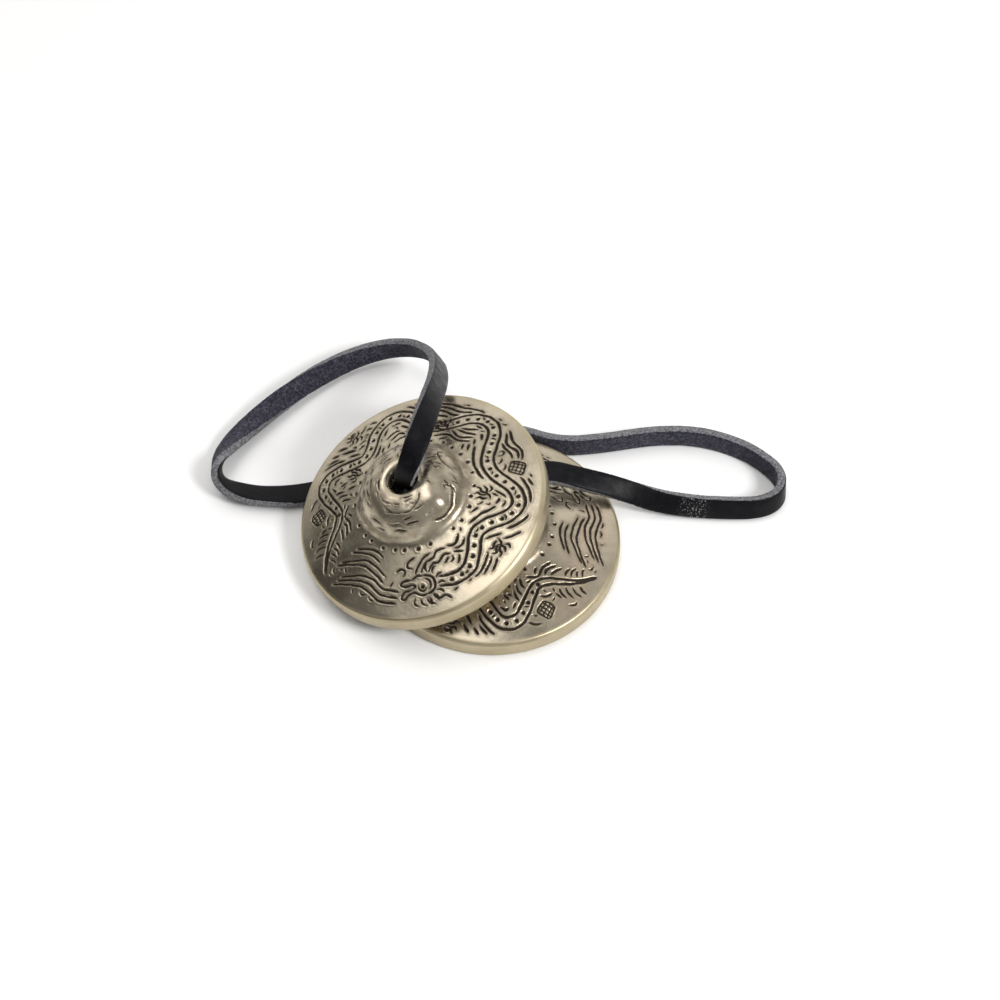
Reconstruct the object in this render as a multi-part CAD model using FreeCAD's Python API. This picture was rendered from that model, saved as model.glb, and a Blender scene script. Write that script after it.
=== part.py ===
"""A pair of small engraved cymbals joined by one flat leather strap, knotted inside each dome.

Frame: millimetres, +Z up, z = 0 is the surface that the pair lies on.  The origin is under the
middle of the two cymbals' own box.  The lower cymbal lies flat; the upper one leans on it, with
its left rim down near the surface.
"""
import FreeCAD, Part
import math
import os

Vector = FreeCAD.Vector
UP = Vector(0, 0, 1)

# Driving dimensions of one cymbal (both are cast alike).  A pair is a radius and a height.
RIM_RADIUS = 32.5
SIDE_HEIGHT = 4.1               # height of the upright side of the rim
FACE_EDGE_RADIUS = 31.85        # where the bevel over the side meets the engraved face
FACE_EDGE_HEIGHT = 4.95
BASE_CHAMFER = 0.4
FACE_TOP_RADIUS = 15.7          # where the face runs into the fillet at the dome's foot
FACE_TOP_HEIGHT = 9.75
FOOT_MIDDLE = (14.3, 10.35)     # on that fillet
DOME_START = (13.5, 11.7)       # where the fillet runs into the dome
DOME_SHOULDER = (11.0, 15.8)
DOME_TOP = (5.9, 18.1)
HOLE_RADIUS = 3.5
LIP_MIDDLE = (4.15, 17.8)       # on the rounded mouth of the strap's hole
LIP_END_HEIGHT = 16.8
HOLE_FOOT_HEIGHT = 15.7
WALL = 3.9                      # thickness of the face, measured straight down
HOLLOW_RADIUS = 27.6            # inner edge of the flat ring that strikes the other cymbal
HOLLOW_STEP = 0.9               # how far the hollow's wall slopes inwards above that ring
INNER_CEILING = (4.8, 15.1)
INNER_SHOULDER = (8.9, 12.9)
INNER_FOOT = (10.9, 9.0)
INNER_FOOT_MIDDLE = (11.7, 7.35)
INNER_FOOT_END = (13.2, 6.6)

# Where the cymbals lie
LOWER_CENTRE = Vector(8.2, -1.3, 0)
UPPER_BASE_CENTRE = Vector(-8.4, 1.2, 11.2)
UPPER_TILT = 18.4               # degrees from upright
UPPER_LEAN = 196.0              # compass angle, from +X towards +Y, that its axis leans to

# The strap: a flat band cut from smooth leather
STRAP_WIDTH = 5.8
GATHERED_WIDTH = 4.8            # where it is pinched to pass a hole
GATHER_END = 2                  # route points from either end up to which it stays pinched
GATHER_EASE = 2                 # route points over which it widens again
STRAP_THICKNESS = 2.3
ARC_SHARE = 0.45                # share of the shorter run that an arc takes up at each end
ARC_STEP = math.radians(9)      # turn between two neighbouring sections on an arc

# Route from the upper knot to the lower knot: place, then the way the smooth face looks
STRAP_ROUTE = [
    ((-11.9, 0.2, 22.1), (0.38, -0.92, -0.03)),
    ((-12.8, -0.3, 25.9), (0.23, -0.96, -0.14)),
    ((-13.3, -1.2, 29.6), (-0.41, -0.91, -0.03)),
    ((-12.0, -0.9, 33.2), (-0.17, -0.85, 0.49)),
    ((-10.4, 2.3, 36.7), (0.33, -0.55, 0.77)),
    ((-8.6, 8.5, 38.4), (0.60, -0.13, 0.79)),
    ((-6.6, 18.3, 36.4), (0.76, 0.17, 0.63)),
    ((-5.4, 31.2, 28.5), (0.82, 0.30, 0.49)),
    ((-6.0, 43.2, 20.5), (0.80, 0.43, 0.42)),
    ((-8.7, 52.1, 13.4), (0.70, 0.62, 0.37)),
    ((-13.1, 58.3, 8.5), (0.50, 0.85, 0.19)),
    ((-20.8, 61.0, 5.2), (0.02, 1.00, -0.06)),
    ((-30.8, 58.3, 3.9), (-0.38, 0.88, -0.30)),
    ((-41.3, 51.5, 3.3), (-0.45, 0.61, -0.66)),
    ((-50.8, 42.5, 3.0), (-0.22, 0.22, -0.95)),
    ((-58.3, 33.7, 3.0), (0.10, -0.11, -0.99)),
    ((-62.6, 27.1, 3.5), (0.48, -0.28, -0.83)),
    ((-64.4, 21.3, 3.7), (0.97, 0.02, -0.25)),
    ((-62.4, 15.9, 3.5), (0.56, 0.46, 0.69)),
    ((-56.6, 13.3, 2.7), (0.12, 0.11, 0.99)),
    ((-48.8, 12.7, 2.2), (0.04, -0.15, 0.99)),
    ((-40.3, 13.5, 2.0), (0.08, -0.25, 0.97)),
    ((-32.3, 16.2, 1.8), (0.08, -0.18, 0.98)),
    ((-25.8, 22.2, 2.4), (-0.24, 0.15, 0.96)),
    ((-18.3, 29.7, 3.2), (-0.44, 0.57, 0.70)),
    ((-8.4, 33.5, 3.2), (-0.20, 0.97, 0.10)),
    ((2.9, 34.4, 3.1), (0.15, 0.98, 0.00)),
    ((14.6, 32.9, 3.1), (0.24, 0.97, -0.05)),
    ((26.0, 28.4, 3.1), (0.15, 0.98, -0.10)),
    ((38.0, 28.9, 3.2), (-0.17, 0.98, -0.15)),
    ((51.2, 31.4, 3.2), (-0.06, 0.98, -0.18)),
    ((63.2, 31.3, 3.2), (0.19, 0.97, -0.12)),
    ((73.7, 27.5, 3.1), (0.43, 0.89, 0.12)),
    ((79.8, 23.3, 3.1), (0.67, 0.73, 0.15)),
    ((83.5, 18.5, 3.1), (0.94, 0.29, 0.17)),
    ((83.2, 12.1, 3.2), (0.85, -0.49, 0.20)),
    ((77.8, 8.6, 3.2), (0.25, -0.91, 0.34)),
    ((69.7, 8.4, 3.2), (-0.02, -0.92, 0.39)),
    ((60.7, 8.9, 3.2), (-0.09, -0.91, 0.41)),
    ((51.2, 10.3, 3.5), (-0.04, -0.83, 0.56)),
    ((43.7, 11.6, 5.9), (0.21, -0.64, 0.74)),
    ((36.7, 11.9, 8.9), (0.32, -0.40, 0.86)),
    ((29.2, 12.1, 11.6), (0.41, -0.29, 0.86)),
    ((23.2, 11.3, 15.2), (0.50, -0.15, 0.85)),
    ((17.8, 8.5, 17.7), (0.31, 0.14, 0.94)),
    ((13.1, 4.3, 19.5), (0.10, 0.10, 0.99)),
    ((9.6, 0.3, 19.5), (-0.22, -0.26, 0.94)),
    ((7.5, -2.1, 16.1), (-0.59, -0.70, 0.40)),
    ((7.5, -2.1, 12.0), (-0.64, -0.77, 0.00)),
]

# The overhand knots that stop the strap ends inside the domes
KNOT_RADIUS = 6.0
KNOT_HEIGHT = 8.6
KNOT_CAP_RADIUS = 2.7           # flat ring left round the strap at the knot's top and bottom
KNOT_LIFT = 10.0                # height of a knot's middle above its own cymbal's base


def face_height(radius):
    """Height of the engraved face at a radius, between the rim's bevel and the dome's foot."""
    share = (FACE_EDGE_RADIUS - radius) / (FACE_EDGE_RADIUS - FACE_TOP_RADIUS)
    return FACE_EDGE_HEIGHT + share * (FACE_TOP_HEIGHT - FACE_EDGE_HEIGHT)


def rz(pair):
    """A point of the cross-section, from its radius and height."""
    return Vector(pair[0], 0, pair[1])


def arc(start, middle, end):
    """One arc edge of the cross-section through three points."""
    return Part.Arc(rz(start), rz(middle), rz(end)).toShape()


def chain(points):
    """Straight edges of the cross-section through a list of points."""
    return [Part.LineSegment(rz(a), rz(b)).toShape() for a, b in zip(points, points[1:])]


def cymbal():
    """One cymbal on its own axis, base at z = 0: rim, sloping face, dome, hole and hollow."""
    face_top = (FACE_TOP_RADIUS, FACE_TOP_HEIGHT)
    lip_end = (HOLE_RADIUS, LIP_END_HEIGHT)
    hole_foot = (HOLE_RADIUS, HOLE_FOOT_HEIGHT)
    hollow_edge = HOLLOW_RADIUS - HOLLOW_STEP
    edges = chain([(RIM_RADIUS, BASE_CHAMFER), (RIM_RADIUS, SIDE_HEIGHT),
                   (FACE_EDGE_RADIUS, FACE_EDGE_HEIGHT), face_top])
    edges.append(arc(face_top, FOOT_MIDDLE, DOME_START))
    edges.append(arc(DOME_START, DOME_SHOULDER, DOME_TOP))
    edges.append(arc(DOME_TOP, LIP_MIDDLE, lip_end))
    edges += chain([lip_end, hole_foot, INNER_CEILING])
    edges.append(arc(INNER_CEILING, INNER_SHOULDER, INNER_FOOT))
    edges.append(arc(INNER_FOOT, INNER_FOOT_MIDDLE, INNER_FOOT_END))
    edges += chain([INNER_FOOT_END, (hollow_edge, face_height(hollow_edge) - WALL),
                    (HOLLOW_RADIUS, 0), (RIM_RADIUS - BASE_CHAMFER, 0), (RIM_RADIUS, BASE_CHAMFER)])
    section = Part.Face(Part.Wire(edges))
    return section.revolve(Vector(0, 0, 0), UP, 360)


def lean(shape):
    """Put a shape made on a cymbal's own axis where the leaning upper cymbal lies."""
    lean_angle = math.radians(UPPER_LEAN)
    turn_axis = Vector(-math.sin(lean_angle), math.cos(lean_angle), 0)
    shape.rotate(Vector(0, 0, 0), turn_axis, UPPER_TILT)
    shape.translate(UPPER_BASE_CENTRE)
    return shape


def knot():
    """The plain outer shape of an overhand knot: a barrel with a rounded side."""
    low = KNOT_LIFT - KNOT_HEIGHT / 2
    high = KNOT_LIFT + KNOT_HEIGHT / 2
    edges = chain([(0, low), (KNOT_CAP_RADIUS, low)])
    edges.append(arc((KNOT_CAP_RADIUS, low), (KNOT_RADIUS, KNOT_LIFT), (KNOT_CAP_RADIUS, high)))
    edges += chain([(KNOT_CAP_RADIUS, high), (0, high), (0, low)])
    return Part.Face(Part.Wire(edges)).revolve(Vector(0, 0, 0), UP, 360)


def route_stations():
    """Stations along the strap's path of straight runs and tangent arcs.

    Each station is its place, its heading and its place in the list of route points, which
    says how far the smooth face has turned there.
    """
    points = [Vector(*place) for place, _ in STRAP_ROUTE]
    first_heading = (points[1] - points[0]).normalize()
    stations = [(points[0], first_heading, 0.0)]
    radii = []
    length = 0.0
    last_end = points[0]
    for i in range(1, len(points) - 1):
        run_in = points[i] - points[i - 1]
        run_out = points[i + 1] - points[i]
        reach = ARC_SHARE * min(run_in.Length, run_out.Length)
        heading_in = Vector(run_in).normalize()
        heading_out = Vector(run_out).normalize()
        turn = heading_in.getAngle(heading_out)
        radius = reach / math.tan(turn / 2)
        radii.append(radius)
        start = points[i] - heading_in * reach
        to_centre = (heading_out - heading_in * heading_in.dot(heading_out)).normalize()
        centre = start + to_centre * radius
        steps = max(2, math.ceil(turn / ARC_STEP))
        for k in range(steps + 1):
            swept = turn * k / steps
            spoke = heading_in * math.sin(swept) - to_centre * math.cos(swept)
            heading = heading_in * math.cos(swept) + to_centre * math.sin(swept)
            before = ARC_SHARE * (1 - k / steps) * min(1, reach / (ARC_SHARE * run_in.Length))
            after = ARC_SHARE * (k / steps) * min(1, reach / (ARC_SHARE * run_out.Length))
            stations.append((centre + spoke * radius, heading, i - before + after))
        length += (start - last_end).Length + radius * turn
        last_end = stations[-1][0]
    last_heading = (points[-1] - points[-2]).normalize()
    length += (points[-1] - last_end).Length
    stations.append((points[-1], last_heading, len(points) - 1.0))
    print("arc radii, mm:", [round(radius, 1) for radius in radii])
    return stations, length


def strap_width(index):
    """The strap's width at a place in the list of route points: pinched in both holes."""
    from_end = min(index, len(STRAP_ROUTE) - 1 - index)
    share = min(1.0, max(0.0, (from_end - GATHER_END) / GATHER_EASE))
    return GATHERED_WIDTH + share * (STRAP_WIDTH - GATHERED_WIDTH)


def strap_section(place, heading, index):
    """The strap's rectangular section at one station, squared to its heading."""
    low = min(int(index), len(STRAP_ROUTE) - 2)
    share = index - low
    look = Vector(*STRAP_ROUTE[low][1]) * (1 - share) + Vector(*STRAP_ROUTE[low + 1][1]) * share
    look = (look - heading * look.dot(heading)).normalize()
    across = heading.cross(look) * (strap_width(index) / 2)
    out = look * (STRAP_THICKNESS / 2)
    return Part.makePolygon([place + out + across, place + out - across, place - out - across,
                             place - out + across, place + out + across])


def strap():
    """The whole leather strap as one flat band."""
    stations, length = route_stations()
    band = Part.makeLoft([strap_section(*station) for station in stations], True, True)
    swept = 0.0
    for (start, _, first), (end, _, second) in zip(stations, stations[1:]):
        swept += (end - start).Length * STRAP_THICKNESS * (strap_width(first) + strap_width(second)) / 2
    print("strap length %.1f mm" % length)
    print("strap volume %.0f mm3, section x length %.0f mm3" % (band.Volume, swept))
    print("strap's lowest point %.2f mm" % band.BoundBox.ZMin)
    return band


def lower(shape):
    """Put a shape made on a cymbal's own axis where the lower cymbal lies."""
    shape.translate(LOWER_CENTRE)
    return shape


def main():
    os.makedirs("parts", exist_ok=True)
    pieces = {
        "lower_cymbal": lower(cymbal()),
        "upper_cymbal": lean(cymbal()),
        "strap": strap(),
        "lower_knot": lower(knot()),
        "upper_knot": lean(knot()),
    }
    for name, shape in pieces.items():
        shape.exportStep("parts/%s.step" % name)
        print(name, "valid", shape.isValid(), "volume %.0f mm3" % shape.Volume)


main()
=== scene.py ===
"""Looks of a pair of small engraved cymbals on one leather strap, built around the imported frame."""

import math
import random

import bmesh
import bpy
from mathutils import Matrix, Vector, kdtree, noise


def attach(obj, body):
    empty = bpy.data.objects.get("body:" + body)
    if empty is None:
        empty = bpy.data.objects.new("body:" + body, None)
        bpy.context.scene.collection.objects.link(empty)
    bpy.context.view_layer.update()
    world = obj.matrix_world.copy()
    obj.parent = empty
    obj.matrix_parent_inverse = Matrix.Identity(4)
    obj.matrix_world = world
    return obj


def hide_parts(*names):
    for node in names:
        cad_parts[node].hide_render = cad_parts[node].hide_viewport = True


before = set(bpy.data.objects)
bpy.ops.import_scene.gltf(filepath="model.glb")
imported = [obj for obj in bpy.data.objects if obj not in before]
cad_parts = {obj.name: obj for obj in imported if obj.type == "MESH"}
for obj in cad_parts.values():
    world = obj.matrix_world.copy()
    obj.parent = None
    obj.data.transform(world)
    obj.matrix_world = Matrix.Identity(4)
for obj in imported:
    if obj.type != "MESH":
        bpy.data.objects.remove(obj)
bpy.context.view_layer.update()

MM = 0.001

# The camera: what it aims at on the floor, how far off it stands and how steeply it looks down
AIM = Vector((0.0101, 0.0133, 0.0))
CAMERA_DISTANCE = 0.450
CAMERA_ELEVATION = math.radians(54.5)
SENSOR = 36.0
LENS = 62.0

# The two cymbals, each on an axis of its own
LOWER_BASE = Vector((8.2, -1.3, 0.0)) * MM
UPPER_BASE = Vector((-8.4, 1.2, 11.2)) * MM
UPPER_TILT = math.radians(18.4)
UPPER_LEAN = math.radians(196.0)
LOWER_TURN = math.radians(120)  # how far the lower cymbal's engraving is turned from the upper's

# One cymbal's cross-section, in millimetres, as (radius, height)
RIM_RADIUS = 32.5
FACE_EDGE = (31.85, 4.95)
FACE_TOP = (15.7, 9.75)
DOME_START = (13.5, 11.7)
DOME_SHOULDER = (11.0, 15.8)
DOME_TOP = (5.9, 18.1)
LIP_MIDDLE = (4.15, 17.8)
LIP_END = (3.5, 16.8)
HOLE_FOOT_HEIGHT = 15.7
FOOT_MIDDLE = (14.3, 10.35)  # on the fillet between face and dome
SIDE_HEIGHT = 4.1
BASE_CHAMFER = 0.4
WALL = 3.9  # thickness of the face, measured straight down
HOLLOW_RADIUS = 27.6  # inner edge of the flat striking ring
HOLLOW_STEP = 0.9  # how far the hollow's wall slopes inwards above that ring
INNER_CEILING = (4.8, 15.1)
INNER_SHOULDER = (8.9, 12.9)
INNER_FOOT = (10.9, 9.0)
INNER_FOOT_MIDDLE = (11.7, 7.35)
INNER_FOOT_END = (13.2, 6.6)

# The strap
STRAP_WIDTH = 5.8 * MM
STRAP_THICKNESS = 2.3 * MM
GLINT_SPOT = (0.0603, 0.0090, 0.0032)  # where a painted highlight lies on its face, drawn as a light-grey crackle
GLINT_REACH = 3.2 * MM  # how far the painted highlight reaches from there
GATHERED_SHARE = 4.8 / 5.8  # its width share where it is pinched to pass a hole
GATHER_END = 1.5  # route points from either end up to which it stays pinched
GATHER_EASE = 2  # route points over which it widens again

# The strap's route from the upper knot to the lower one, in metres, and the way its smooth face looks
STRAP_ROUTE = [
    ((-0.0119, 0.0002, 0.0221), (0.10, -0.99, -0.03)),
    ((-0.0128, -0.0003, 0.0259), (-0.20, -0.97, -0.14)),
    ((-0.0133, -0.0012, 0.0296), (-0.55, -0.83, -0.05)),
    ((-0.0120, -0.0009, 0.0332), (-0.50, -0.74, 0.45)),
    ((-0.0104, 0.0023, 0.0367), (0.02, -0.66, 0.75)),
    ((-0.0086, 0.0085, 0.0384), (0.50, -0.20, 0.84)),
    ((-0.0066, 0.0183, 0.0364), (0.76, 0.17, 0.63)),
    ((-0.0054, 0.0312, 0.0285), (0.82, 0.30, 0.49)),
    ((-0.0060, 0.0432, 0.0205), (0.80, 0.43, 0.42)),
    ((-0.0087, 0.0521, 0.0134), (0.70, 0.62, 0.37)),
    ((-0.0131, 0.0583, 0.0085), (0.50, 0.85, 0.19)),
    ((-0.0208, 0.0610, 0.0052), (0.02, 1.00, -0.06)),
    ((-0.0308, 0.0583, 0.0039), (-0.38, 0.88, -0.30)),
    ((-0.0413, 0.0515, 0.0033), (-0.45, 0.61, -0.66)),
    ((-0.0508, 0.0425, 0.0030), (-0.22, 0.22, -0.95)),
    ((-0.0583, 0.0337, 0.0030), (0.10, -0.11, -0.99)),
    ((-0.0626, 0.0271, 0.0035), (0.48, -0.28, -0.83)),
    ((-0.0644, 0.0213, 0.0037), (0.97, 0.02, -0.25)),
    ((-0.0624, 0.0159, 0.0035), (0.56, 0.46, 0.69)),
    ((-0.0566, 0.0133, 0.0027), (0.12, 0.24, 0.97)),
    ((-0.0488, 0.0127, 0.0022), (0.04, 0.16, 0.99)),
    ((-0.0403, 0.0135, 0.0020), (0.08, -0.16, 0.98)),
    ((-0.0323, 0.0162, 0.0018), (0.08, -0.18, 0.98)),
    ((-0.0258, 0.0222, 0.0024), (-0.24, 0.15, 0.96)),
    ((-0.0183, 0.0297, 0.0032), (-0.44, 0.57, 0.70)),
    ((-0.0084, 0.0335, 0.0032), (-0.20, 0.97, 0.10)),
    ((0.0029, 0.0344, 0.0031), (0.15, 0.98, 0.00)),
    ((0.0146, 0.0329, 0.0031), (0.24, 0.97, -0.05)),
    ((0.0260, 0.0284, 0.0031), (0.15, 0.98, -0.10)),
    ((0.0380, 0.0296, 0.0032), (-0.17, 0.98, -0.07)),
    ((0.0512, 0.0322, 0.0032), (-0.06, 1.00, -0.06)),
    ((0.0632, 0.0320, 0.0032), (0.19, 0.98, -0.06)),
    ((0.0737, 0.0281, 0.0031), (0.43, 0.90, -0.04)),
    ((0.0798, 0.0233, 0.0031), (0.68, 0.73, -0.05)),
    ((0.0835, 0.0185, 0.0031), (0.95, 0.29, -0.05)),
    ((0.0832, 0.0121, 0.0032), (0.85, -0.49, 0.20)),
    ((0.0778, 0.0086, 0.0032), (0.25, -0.91, 0.34)),
    ((0.0697, 0.0084, 0.0032), (-0.02, -0.92, 0.39)),
    ((0.0607, 0.0089, 0.0032), (-0.09, -0.91, 0.41)),
    ((0.0512, 0.0103, 0.0035), (-0.04, -0.83, 0.56)),
    ((0.0437, 0.0116, 0.0059), (0.21, -0.64, 0.74)),
    ((0.0367, 0.0119, 0.0089), (0.32, -0.40, 0.86)),
    ((0.0292, 0.0121, 0.0116), (0.41, -0.29, 0.86)),
    ((0.0232, 0.0113, 0.0152), (0.50, -0.15, 0.85)),
    ((0.0178, 0.0085, 0.0177), (0.31, 0.14, 0.94)),
    ((0.0131, 0.0043, 0.0195), (0.10, 0.10, 0.99)),
    ((0.0096, 0.0003, 0.0195), (-0.22, -0.26, 0.94)),
    ((0.0075, -0.0021, 0.0161), (-0.59, -0.70, 0.40)),
    ((0.0075, -0.0021, 0.0120), (-0.64, -0.77, 0.00)),
]


# ---- helpers

def link(name, data):
    """A new object of this mesh, curve, camera or light in the scene."""
    obj = bpy.data.objects.new(name, data)
    bpy.context.scene.collection.objects.link(obj)
    return obj


def lean_matrix(base, tilt):
    """Moves a cymbal's own frame to where the cymbal lies."""
    axis = Vector((-math.sin(UPPER_LEAN), math.cos(UPPER_LEAN), 0))
    return Matrix.Translation(base) @ Matrix.Rotation(tilt, 4, axis)


def polar(degrees, radius):
    """A point of the cymbal's plan from its angle and radius."""
    angle = math.radians(degrees)
    return Vector((radius * math.cos(angle), radius * math.sin(angle)))


def wrap(angle):
    """The same angle between minus and plus half a turn."""
    return (angle + math.pi) % (2 * math.pi) - math.pi


def arc_points(start, middle, end, count):
    """Points along the arc through three points of a cross-section, without its last point."""
    a, m, b = Vector(start), Vector(middle), Vector(end)
    am, ab = m - a, b - a
    cross = 2 * (am.x * ab.y - am.y * ab.x)
    ux = (ab.y * am.length_squared - am.y * ab.length_squared) / cross
    uy = (am.x * ab.length_squared - ab.x * am.length_squared) / cross
    centre = a + Vector((ux, uy))
    first = math.atan2(a.y - centre.y, a.x - centre.x)
    mid_turn = wrap(math.atan2(m.y - centre.y, m.x - centre.x) - first)
    whole = mid_turn + wrap(math.atan2(b.y - centre.y, b.x - centre.x) - first - mid_turn)
    radius = (a - centre).length
    points = []
    for k in range(count):
        angle = first + whole * k / count
        points.append(centre + radius * Vector((math.cos(angle), math.sin(angle))))
    return points


def line_points(start, end, count):
    """Evenly spaced points along a straight line, without its last point."""
    a, b = Vector(start), Vector(end)
    return [a.lerp(b, k / count) for k in range(count)]


def soften(points, rounds):
    """Rounds the corners of an outline by averaging neighbours."""
    for _ in range(rounds):
        inner = [(p + q * 2 + r) / 4 for p, q, r in zip(points, points[1:], points[2:])]
        points = [points[0]] + inner + [points[-1]]
    return points


def catmull(points, step):
    """Evenly dense points on a smooth curve through the given ones."""
    points = [Vector(point) for point in points]
    full = [points[0] * 2 - points[1]] + points + [points[-1] * 2 - points[-2]]
    out = []
    for p0, p1, p2, p3 in zip(full, full[1:], full[2:], full[3:]):
        count = max(2, int((p2 - p1).length / step))
        for k in range(count):
            t = k / count
            out.append(0.5 * (2 * p1 + (p2 - p0) * t + (2 * p0 - 5 * p1 + 4 * p2 - p3) * t ** 2
                              + (3 * p1 - p0 - 3 * p2 + p3) * t ** 3))
    out.append(points[-1])
    return out


def ramp(distance, length):
    """Rises from 0 to 1 over a length."""
    return min(1.0, max(0.0, distance / length))


def headings_along(points):
    """The way a line runs at each of its points."""
    befores, afters = points[:1] + points[:-1], points[1:] + points[-1:]
    return [(after - before).normalized() for before, after in zip(befores, afters)]


def store(mesh, name, values):
    """Keeps one number per vertex on a mesh, for its material."""
    layer = mesh.attributes.new(name, "FLOAT", "POINT")
    layer.data.foreach_set("value", values)


def join(name, parts):
    """One object out of several, with its place in its mesh."""
    work = bmesh.new()
    for layer in ("cut", "suede"):
        work.verts.layers.float.new(layer)
    for part in parts:
        part.data.transform(part.matrix_world)
        work.from_mesh(part.data)
        bpy.data.objects.remove(part)
    mesh = bpy.data.meshes.new(name)
    work.to_mesh(mesh)
    work.free()
    mesh.shade_smooth()
    return link(name, mesh)


# ---- camera

def make_camera():
    """The camera, level across, looking down at the pair along +Y."""
    data = bpy.data.cameras.new("camera")
    data.lens = LENS
    data.sensor_width = SENSOR
    data.clip_start = 0.01
    data.clip_end = 20
    camera = link("camera", data)
    back = Vector((0, -math.cos(CAMERA_ELEVATION), math.sin(CAMERA_ELEVATION)))
    camera.location = AIM + back * CAMERA_DISTANCE
    camera.rotation_euler = (math.pi / 2 - CAMERA_ELEVATION, 0, 0)
    bpy.context.scene.camera = camera


# ---- strap

def spline_points(controls):
    """Points on the NURBS line of these control points."""
    data = bpy.data.curves.new("route", "CURVE")
    data.dimensions = "3D"
    data.resolution_u = 22
    spline = data.splines.new("NURBS")
    spline.points.add(len(controls) - 1)
    for point, place in zip(spline.points, controls):
        point.co = (*place, 1)
    spline.order_u = 3
    spline.use_endpoint_u = True
    obj = link("route", data)
    graph = bpy.context.evaluated_depsgraph_get()
    mesh = bpy.data.meshes.new_from_object(obj.evaluated_get(graph))
    points = [v.co.copy() for v in mesh.vertices]
    bpy.data.objects.remove(obj)
    bpy.data.meshes.remove(mesh)
    return points


def strap_section():
    """The strap's section as (across, out, cut, suede): a place and two shares of finish."""
    half_w, half_t = STRAP_WIDTH / 2, STRAP_THICKNESS / 2
    corner_face, corner_back = 0.42 * MM, 0.2 * MM
    crown = 0.1 * MM
    bulge = 0.03 * MM
    face_steps, back_steps = 6, 5
    ring = []
    for k in range(face_steps + 1):
        x = -half_w + corner_face + (2 * half_w - 2 * corner_face) * k / face_steps
        ring.append((x, half_t + crown * (1 - (x / half_w) ** 2) - crown * 0.3, 0.0, 0.0))
    edge = [(half_w - corner_face * 0.25, half_t - corner_face * 0.3, 0.25, 0.0),
            (half_w, half_t - corner_face, 1.0, 0.0),
            (half_w + bulge, 0, 1.0, 0.3),
            (half_w, -half_t + corner_back, 1.0, 0.6)]
    ring += edge
    for k in range(back_steps + 1):
        x = half_w - corner_back - (2 * half_w - 2 * corner_back) * k / back_steps
        ring.append((x, -half_t, 0.0, 1.0))
    ring += [(-x, y, cut, suede) for x, y, cut, suede in reversed(edge)]
    return ring


def strap_frames(points, looks):
    """Place, across and out at each point of the strap's line."""
    frames = []
    for place, look, heading in zip(points, looks, headings_along(points)):
        out = (look - heading * look.dot(heading)).normalized()
        frames.append((place, heading.cross(out), out))
    return frames


def gather(i, count):
    """The strap's width share at one of its line's points: pinched in both holes."""
    samples_per_point = count / (len(STRAP_ROUTE) - 2)
    from_end = min(i, count - 1 - i) / samples_per_point
    return GATHERED_SHARE + (1 - GATHERED_SHARE) * ramp(from_end - GATHER_END, GATHER_EASE)


# Unevenness of the leather: how far it reaches and how long its waves are
RUFFLE, RUFFLE_WAVE = 0.11 * MM, 0.55 * MM  # of the cut edges and the suede
RIPPLE, RIPPLE_WAVE = 0.06 * MM, 3.0 * MM  # of the whole band


def roughened(spot, across, out, x, cut_share, suede_share):
    """A point of the band, moved by the leather's own unevenness."""
    rough = max(cut_share, suede_share)
    ruffle = noise.noise(spot / RUFFLE_WAVE) * RUFFLE * rough
    ripple = noise.noise(spot / RIPPLE_WAVE + Vector((7, 0, 0))) * RIPPLE
    side = Vector((0, 0, 0))
    side += across * (ruffle * cut_share * (1 if x > 0 else -1))
    side += out * (ripple - ruffle * (1 - cut_share) * 0.5)
    return spot + side


def make_strap(name, points, looks, scale=None):
    """The strap's band: glossy face, suede back and rough cut edges."""
    ring = strap_section()
    count = len(ring)
    verts, cut, suede = [], [], []
    for i, (place, across, out) in enumerate(strap_frames(points, looks)):
        narrow = scale or gather(i, len(points))
        for x, y, cut_share, suede_share in ring:
            spot = place + across * x * narrow + out * y
            verts.append(roughened(spot, across, out, x, cut_share, suede_share))
            cut.append(cut_share)
            suede.append(suede_share)
    faces = []
    for i in range(len(points) - 1):
        for k in range(count):
            a = i * count + k
            b = i * count + (k + 1) % count
            faces.append((a, b, b + count, a + count))
    faces.append(tuple(range(count))[::-1])
    faces.append(tuple(range(len(verts) - count, len(verts))))
    mesh = bpy.data.meshes.new(name)
    mesh.from_pydata(verts, [], faces)
    mesh.shade_smooth()
    store(mesh, "cut", cut)
    store(mesh, "suede", suede)
    return link(name, mesh)


def painted_glint(points):
    """Share of painted highlight on the strap's face at each point of its line: only round one sharp bend.
    """
    spot = Vector(GLINT_SPOT)
    return [math.exp(-((point - spot).length / GLINT_REACH) ** 4) for point in points]


# A tied end's turns in its cymbal's own frame, mm: one round the waist, then one over it with the tail
KNOT_TURNS = (
    [(0.2, 0.3, 14.2), (2.6, -0.8, 13.2), (4.3, 0.9, 11.4), (3.2, 3.6, 9.8), (-0.4, 4.6, 9.0),
     (-3.9, 2.6, 9.2), (-4.3, -1.4, 10.4), (-1.6, -4.2, 11.2), (2.2, -3.9, 10.6), (4.2, -1.4, 8.8),
     (3.2, 1.4, 7.4), (0.6, 1.2, 6.6)],
    [(-0.3, -0.2, 13.8), (-2.9, 1.2, 13.0), (-4.4, 0.2, 11.0), (-3.6, -2.0, 8.4), (-1.2, -2.6, 7.0),
     (1.4, -1.6, 6.6), (1.6, 0.2, 5.4), (0.9, 0.9, 3.4), (1.2, 0.4, 1.6)],
)
KNOT_RADIUS, KNOT_HALF, KNOT_LIFT = 3.7, 3.2, 10.0  # of the knot's packed middle, mm
KNOT_SQUEEZE = 0.78  # the strap's width share where it is drawn tight round the knot


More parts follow.
